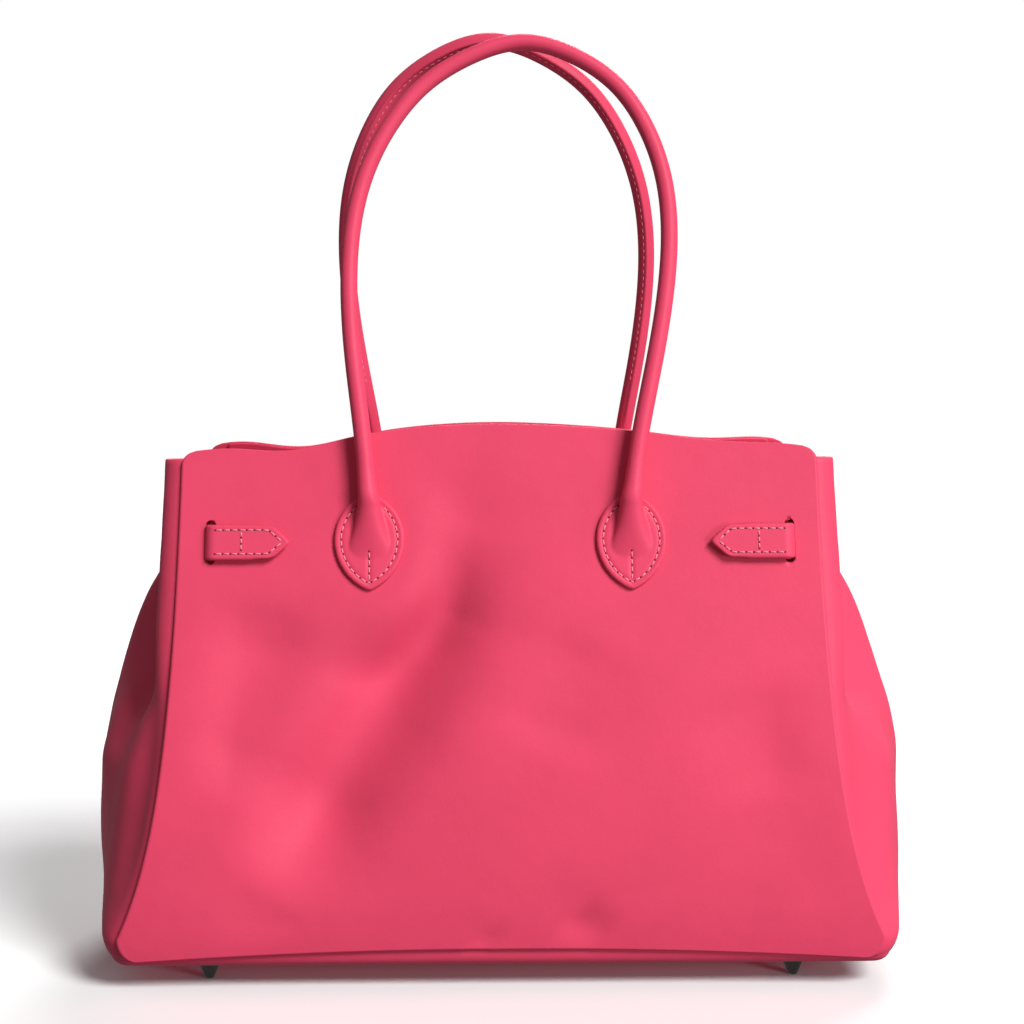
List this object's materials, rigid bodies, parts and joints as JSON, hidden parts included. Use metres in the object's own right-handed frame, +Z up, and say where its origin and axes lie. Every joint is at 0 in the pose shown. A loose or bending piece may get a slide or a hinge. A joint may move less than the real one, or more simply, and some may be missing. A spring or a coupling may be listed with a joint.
{
  "type": "tote bag",
  "caption": "Open-topped leather tote bag with pinched sides, side straps, two long rolled handles on stitched leaf ends, and studs under a flat base.",
  "frame": {"origin": "on the ground under the middle of the bag, at the tips of the four base studs", "axes": "+Z up, +X to the right as seen from the front, -Y is the front face"},
  "size_m": [0.4186, 0.1784, 0.4763],
  "materials": {
    "leather": "smooth pink leather, soft satin sheen, light creases",
    "lining": "thin suede-like lining",
    "thread": "waxed thread, a lighter pink than the leather",
    "board": "fibre board and reinforcing sheet",
    "cord": "twisted cotton cord",
    "stud_metal": "darkened polished metal"
  },
  "bodies": {
    "bag": {"front_panel": "leather", "back_panel": "leather", "left_gusset": "leather", "right_gusset": "leather", "base_panel": "leather", "base_board": "board", "stud_washers": "stud_metal", "base_lining": "lining", "front_lining": "lining", "back_lining": "lining", "left_lining": "lining", "right_lining": "lining", "front_facing": "leather", "back_facing": "leather", "slip_pocket": "lining", "left_strap": "leather", "right_strap": "leather", "front_left_handle_end": "leather", "front_right_handle_end": "leather", "back_left_handle_end": "leather", "back_right_handle_end": "leather", "handle_patches": "board", "front_left_stud": "stud_metal", "front_right_stud": "stud_metal", "back_left_stud": "stud_metal", "back_right_stud": "stud_metal"},
    "front_handle": {"front_handle_sleeve": "leather", "front_handle_core": "cord"},
    "back_handle": {"back_handle_sleeve": "leather", "back_handle_core": "cord"}
  },
  "joints": [
    {"name": "front_handle_swing", "type": "hinge", "parent": "bag", "child": "front_handle", "pos_m": [0, -0.0723, 0.24], "axis": [1, 0, 0], "range_deg": [0, 185]},
    {"name": "back_handle_swing", "type": "hinge", "parent": "bag", "child": "back_handle", "pos_m": [0, 0.0723, 0.24], "axis": [-1, 0, 0], "range_deg": [0, 185]}
  ]
}
